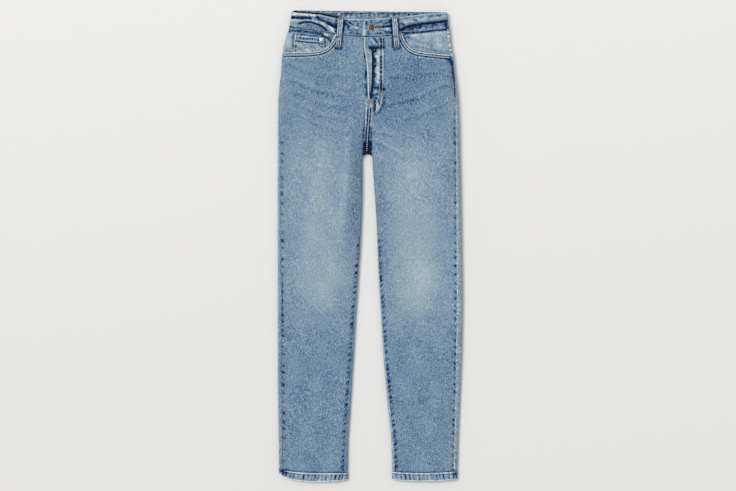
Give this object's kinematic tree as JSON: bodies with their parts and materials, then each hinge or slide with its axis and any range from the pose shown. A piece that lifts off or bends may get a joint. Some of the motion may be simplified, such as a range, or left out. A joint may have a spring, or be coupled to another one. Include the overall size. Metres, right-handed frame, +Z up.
{
  "type": "straight-leg jeans",
  "caption": "Straight-leg denim jeans laid flat, with a buttoned waistband, belt loops, curved front pockets, a coin pocket and patch pockets behind.",
  "frame": {"origin": "middle of the garment on the surface it lies on", "axes": "+X towards the wearer's left across the front, +Y from the hems to the waist, +Z up, out of the front"},
  "size_m": [0.4159, 1.0617, 0.0209],
  "materials": {
    "denim": "faded mid-blue twill",
    "denim_edge": "mid-blue twill, sewn in several layers",
    "denim_facing": "pale blue twill",
    "denim_loop": "worn pale twill",
    "button_metal": "antique, brushed",
    "rivet_metal": "pale nickel"
  },
  "bodies": {
    "root": {"front_right": "denim", "front_left": "denim", "back_right": "denim", "back_left": "denim", "yoke_right": "denim", "yoke_left": "denim", "hem_right": "denim_edge", "hem_left": "denim_edge", "waistband": "denim_edge", "fly_underlap": "denim_edge", "pocket_facing_right": "denim_facing", "pocket_facing_left": "denim_facing", "coin_pocket": "denim_facing", "back_pocket_right": "denim", "back_pocket_left": "denim", "belt_loop_front_right": "denim_loop", "belt_loop_front_left": "denim_loop", "belt_loop_back_right": "denim_loop", "belt_loop_back_left": "denim_loop", "belt_loop_back_centre": "denim_loop", "button": "button_metal", "coin_pocket_rivet": "rivet_metal"}
  },
  "joints": []
}
